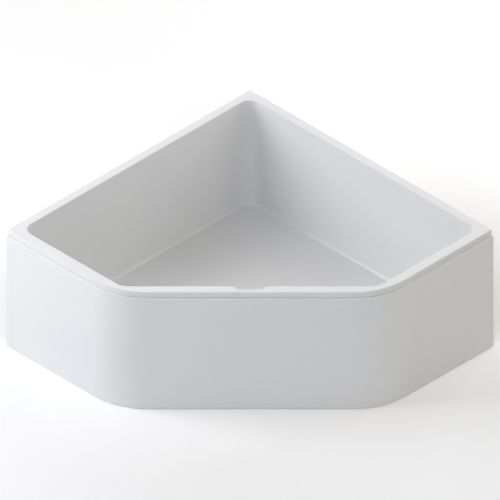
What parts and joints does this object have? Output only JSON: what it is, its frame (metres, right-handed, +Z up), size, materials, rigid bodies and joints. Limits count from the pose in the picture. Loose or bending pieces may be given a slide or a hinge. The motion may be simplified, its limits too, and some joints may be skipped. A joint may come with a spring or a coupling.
{
  "type": "corner bathtub",
  "caption": "Corner bathtub: five-sided white moulded basin with a flat rim and overflow niche, wrap-round pull-off apron, steel leg frame on levelling feet, waste and trap.",
  "frame": {"origin": "floor level, at the middle of the square that encloses the bath", "axes": "+Z up; the left-hand wall of the picture lies on the -X side, the right-hand wall on the +Y side, and the front faces +X and -Y at 45 degrees"},
  "size_m": [1.409, 1.409, 0.58],
  "materials": {
    "white_acrylic": "glossy white cast acrylic sheet",
    "fibreglass": "rough sprayed glass fibre and polyester resin, fibres showing",
    "chipboard": "raw pressed chipboard, speckled",
    "galvanised_steel": "galvanised sheet, faint spangle",
    "zinc_plated_steel": "bright zinc plate",
    "spring_steel": "grey spring steel",
    "magnet_nickel": "nickel-plated magnet",
    "stainless_screw": "polished stainless steel",
    "chrome": "bright chrome plate",
    "brass": "turned brass",
    "rubber": "black rubber",
    "white_plastic": "moulded white polypropylene",
    "white_pipe": "smooth white pipe",
    "black_plastic": "moulded dark plastic",
    "foot_plastic": "moulded black plastic"
  },
  "bodies": {
    "tub": {"tub_shell": "white_acrylic", "fibreglass_backing": "fibreglass", "rim_battens_wall": "chipboard", "rim_battens_return": "chipboard", "rim_battens_front": "chipboard", "base_board": "chipboard", "leg_rail_front": "galvanised_steel", "leg_rail_middle": "galvanised_steel", "leg_rail_back": "galvanised_steel", "rail_nuts": "zinc_plated_steel", "foot_lock_nuts": "zinc_plated_steel", "timber_screws": "zinc_plated_steel", "wall_brackets": "galvanised_steel", "panel_clips": "spring_steel", "magnet_brackets": "galvanised_steel", "panel_magnets": "magnet_nickel", "drain_flange": "chrome", "drain_gasket_upper": "rubber", "drain_gasket_lower": "rubber", "drain_body": "white_plastic", "click_cartridge": "brass", "overflow_cover": "chrome", "overflow_screw": "stainless_screw", "overflow_gasket": "rubber", "overflow_body": "white_plastic", "overflow_riser_pipe": "white_pipe", "overflow_cross_pipe": "white_pipe", "overflow_elbow": "white_plastic", "pipe_nuts": "black_plastic", "pipe_seals": "rubber", "trap_nut": "black_plastic", "trap_gasket": "rubber", "trap_body": "white_plastic", "outlet_nut": "black_plastic", "outlet_seal": "rubber", "outlet_pipe": "white_pipe"},
    "panel": {"front_panel": "white_acrylic", "strike_plates": "zinc_plated_steel"},
    "plug": {"waste_plug": "chrome", "plug_seal": "rubber", "plug_stem": "brass"},
    "foot_front_left": {"foot_stud_front_left": "zinc_plated_steel", "foot_pad_front_left": "foot_plastic"},
    "foot_front_right": {"foot_stud_front_right": "zinc_plated_steel", "foot_pad_front_right": "foot_plastic"},
    "foot_front_centre": {"foot_stud_front_centre": "zinc_plated_steel", "foot_pad_front_centre": "foot_plastic"},
    "foot_middle_left": {"foot_stud_middle_left": "zinc_plated_steel", "foot_pad_middle_left": "foot_plastic"},
    "foot_middle_right": {"foot_stud_middle_right": "zinc_plated_steel", "foot_pad_middle_right": "foot_plastic"},
    "foot_middle_centre": {"foot_stud_middle_centre": "zinc_plated_steel", "foot_pad_middle_centre": "foot_plastic"},
    "foot_back_left": {"foot_stud_back_left": "zinc_plated_steel", "foot_pad_back_left": "foot_plastic"},
    "foot_back_right": {"foot_stud_back_right": "zinc_plated_steel", "foot_pad_back_right": "foot_plastic"}
  },
  "joints": [
    {"name": "panel_pull", "type": "slide", "parent": "tub", "child": "panel", "axis": [0.7071, -0.7071, 0], "range_m": [0, 0.3]},
    {"name": "plug_lift", "type": "slide", "parent": "tub", "child": "plug", "axis": [0, 0, 1], "range_m": [0, 0.009]},
    {"name": "foot_front_left_level", "type": "slide", "parent": "tub", "child": "foot_front_left", "axis": [0, 0, -1], "range_m": [-0.002, 0.03]},
    {"name": "foot_front_right_level", "type": "slide", "parent": "tub", "child": "foot_front_right", "axis": [0, 0, -1], "range_m": [-0.002, 0.03]},
    {"name": "foot_front_centre_level", "type": "slide", "parent": "tub", "child": "foot_front_centre", "axis": [0, 0, -1], "range_m": [-0.002, 0.03]},
    {"name": "foot_middle_left_level", "type": "slide", "parent": "tub", "child": "foot_middle_left", "axis": [0, 0, -1], "range_m": [-0.002, 0.03]},
    {"name": "foot_middle_right_level", "type": "slide", "parent": "tub", "child": "foot_middle_right", "axis": [0, 0, -1], "range_m": [-0.002, 0.03]},
    {"name": "foot_middle_centre_level", "type": "slide", "parent": "tub", "child": "foot_middle_centre", "axis": [0, 0, -1], "range_m": [-0.002, 0.03]},
    {"name": "foot_back_left_level", "type": "slide", "parent": "tub", "child": "foot_back_left", "axis": [0, 0, -1], "range_m": [-0.002, 0.03]},
    {"name": "foot_back_right_level", "type": "slide", "parent": "tub", "child": "foot_back_right", "axis": [0, 0, -1], "range_m": [-0.002, 0.03]}
  ]
}
